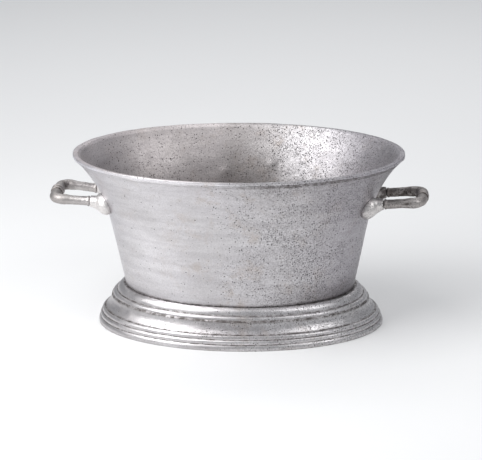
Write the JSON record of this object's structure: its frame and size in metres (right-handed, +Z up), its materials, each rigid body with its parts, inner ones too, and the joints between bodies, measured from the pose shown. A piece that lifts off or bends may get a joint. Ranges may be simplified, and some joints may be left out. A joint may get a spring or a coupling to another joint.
{
  "type": "champagne bucket",
  "caption": "Oval flared metal bucket on a stepped hollow foot, with a looped handle in cast lugs at each end, for chilling bottles in ice.",
  "frame": {"origin": "centre of the base on the table", "axes": "+X along the oval's long axis, to the right-hand handle; +Y to the back; +Z up"},
  "size_m": [0.457, 0.28, 0.211],
  "materials": {
    "bowl_metal": "aged satin silver, pitted cast metal",
    "foot_metal": "aged satin silver with grime in the grooves",
    "handle_metal": "worn, warm grey cast metal",
    "lug_metal": "worn cast metal with dark edges",
    "screw_steel": "dull steel",
    "washer_rubber": "matt black"
  },
  "bodies": {
    "root": {"bowl": "bowl_metal", "foot": "foot_metal", "handle_right": "handle_metal", "handle_left": "handle_metal", "lug_right_front": "lug_metal", "lug_right_back": "lug_metal", "lug_left_front": "lug_metal", "lug_left_back": "lug_metal", "handle_screws": "screw_steel", "handle_screw_washers": "washer_rubber", "foot_screws": "screw_steel", "foot_screw_washers": "washer_rubber"}
  },
  "joints": []
}
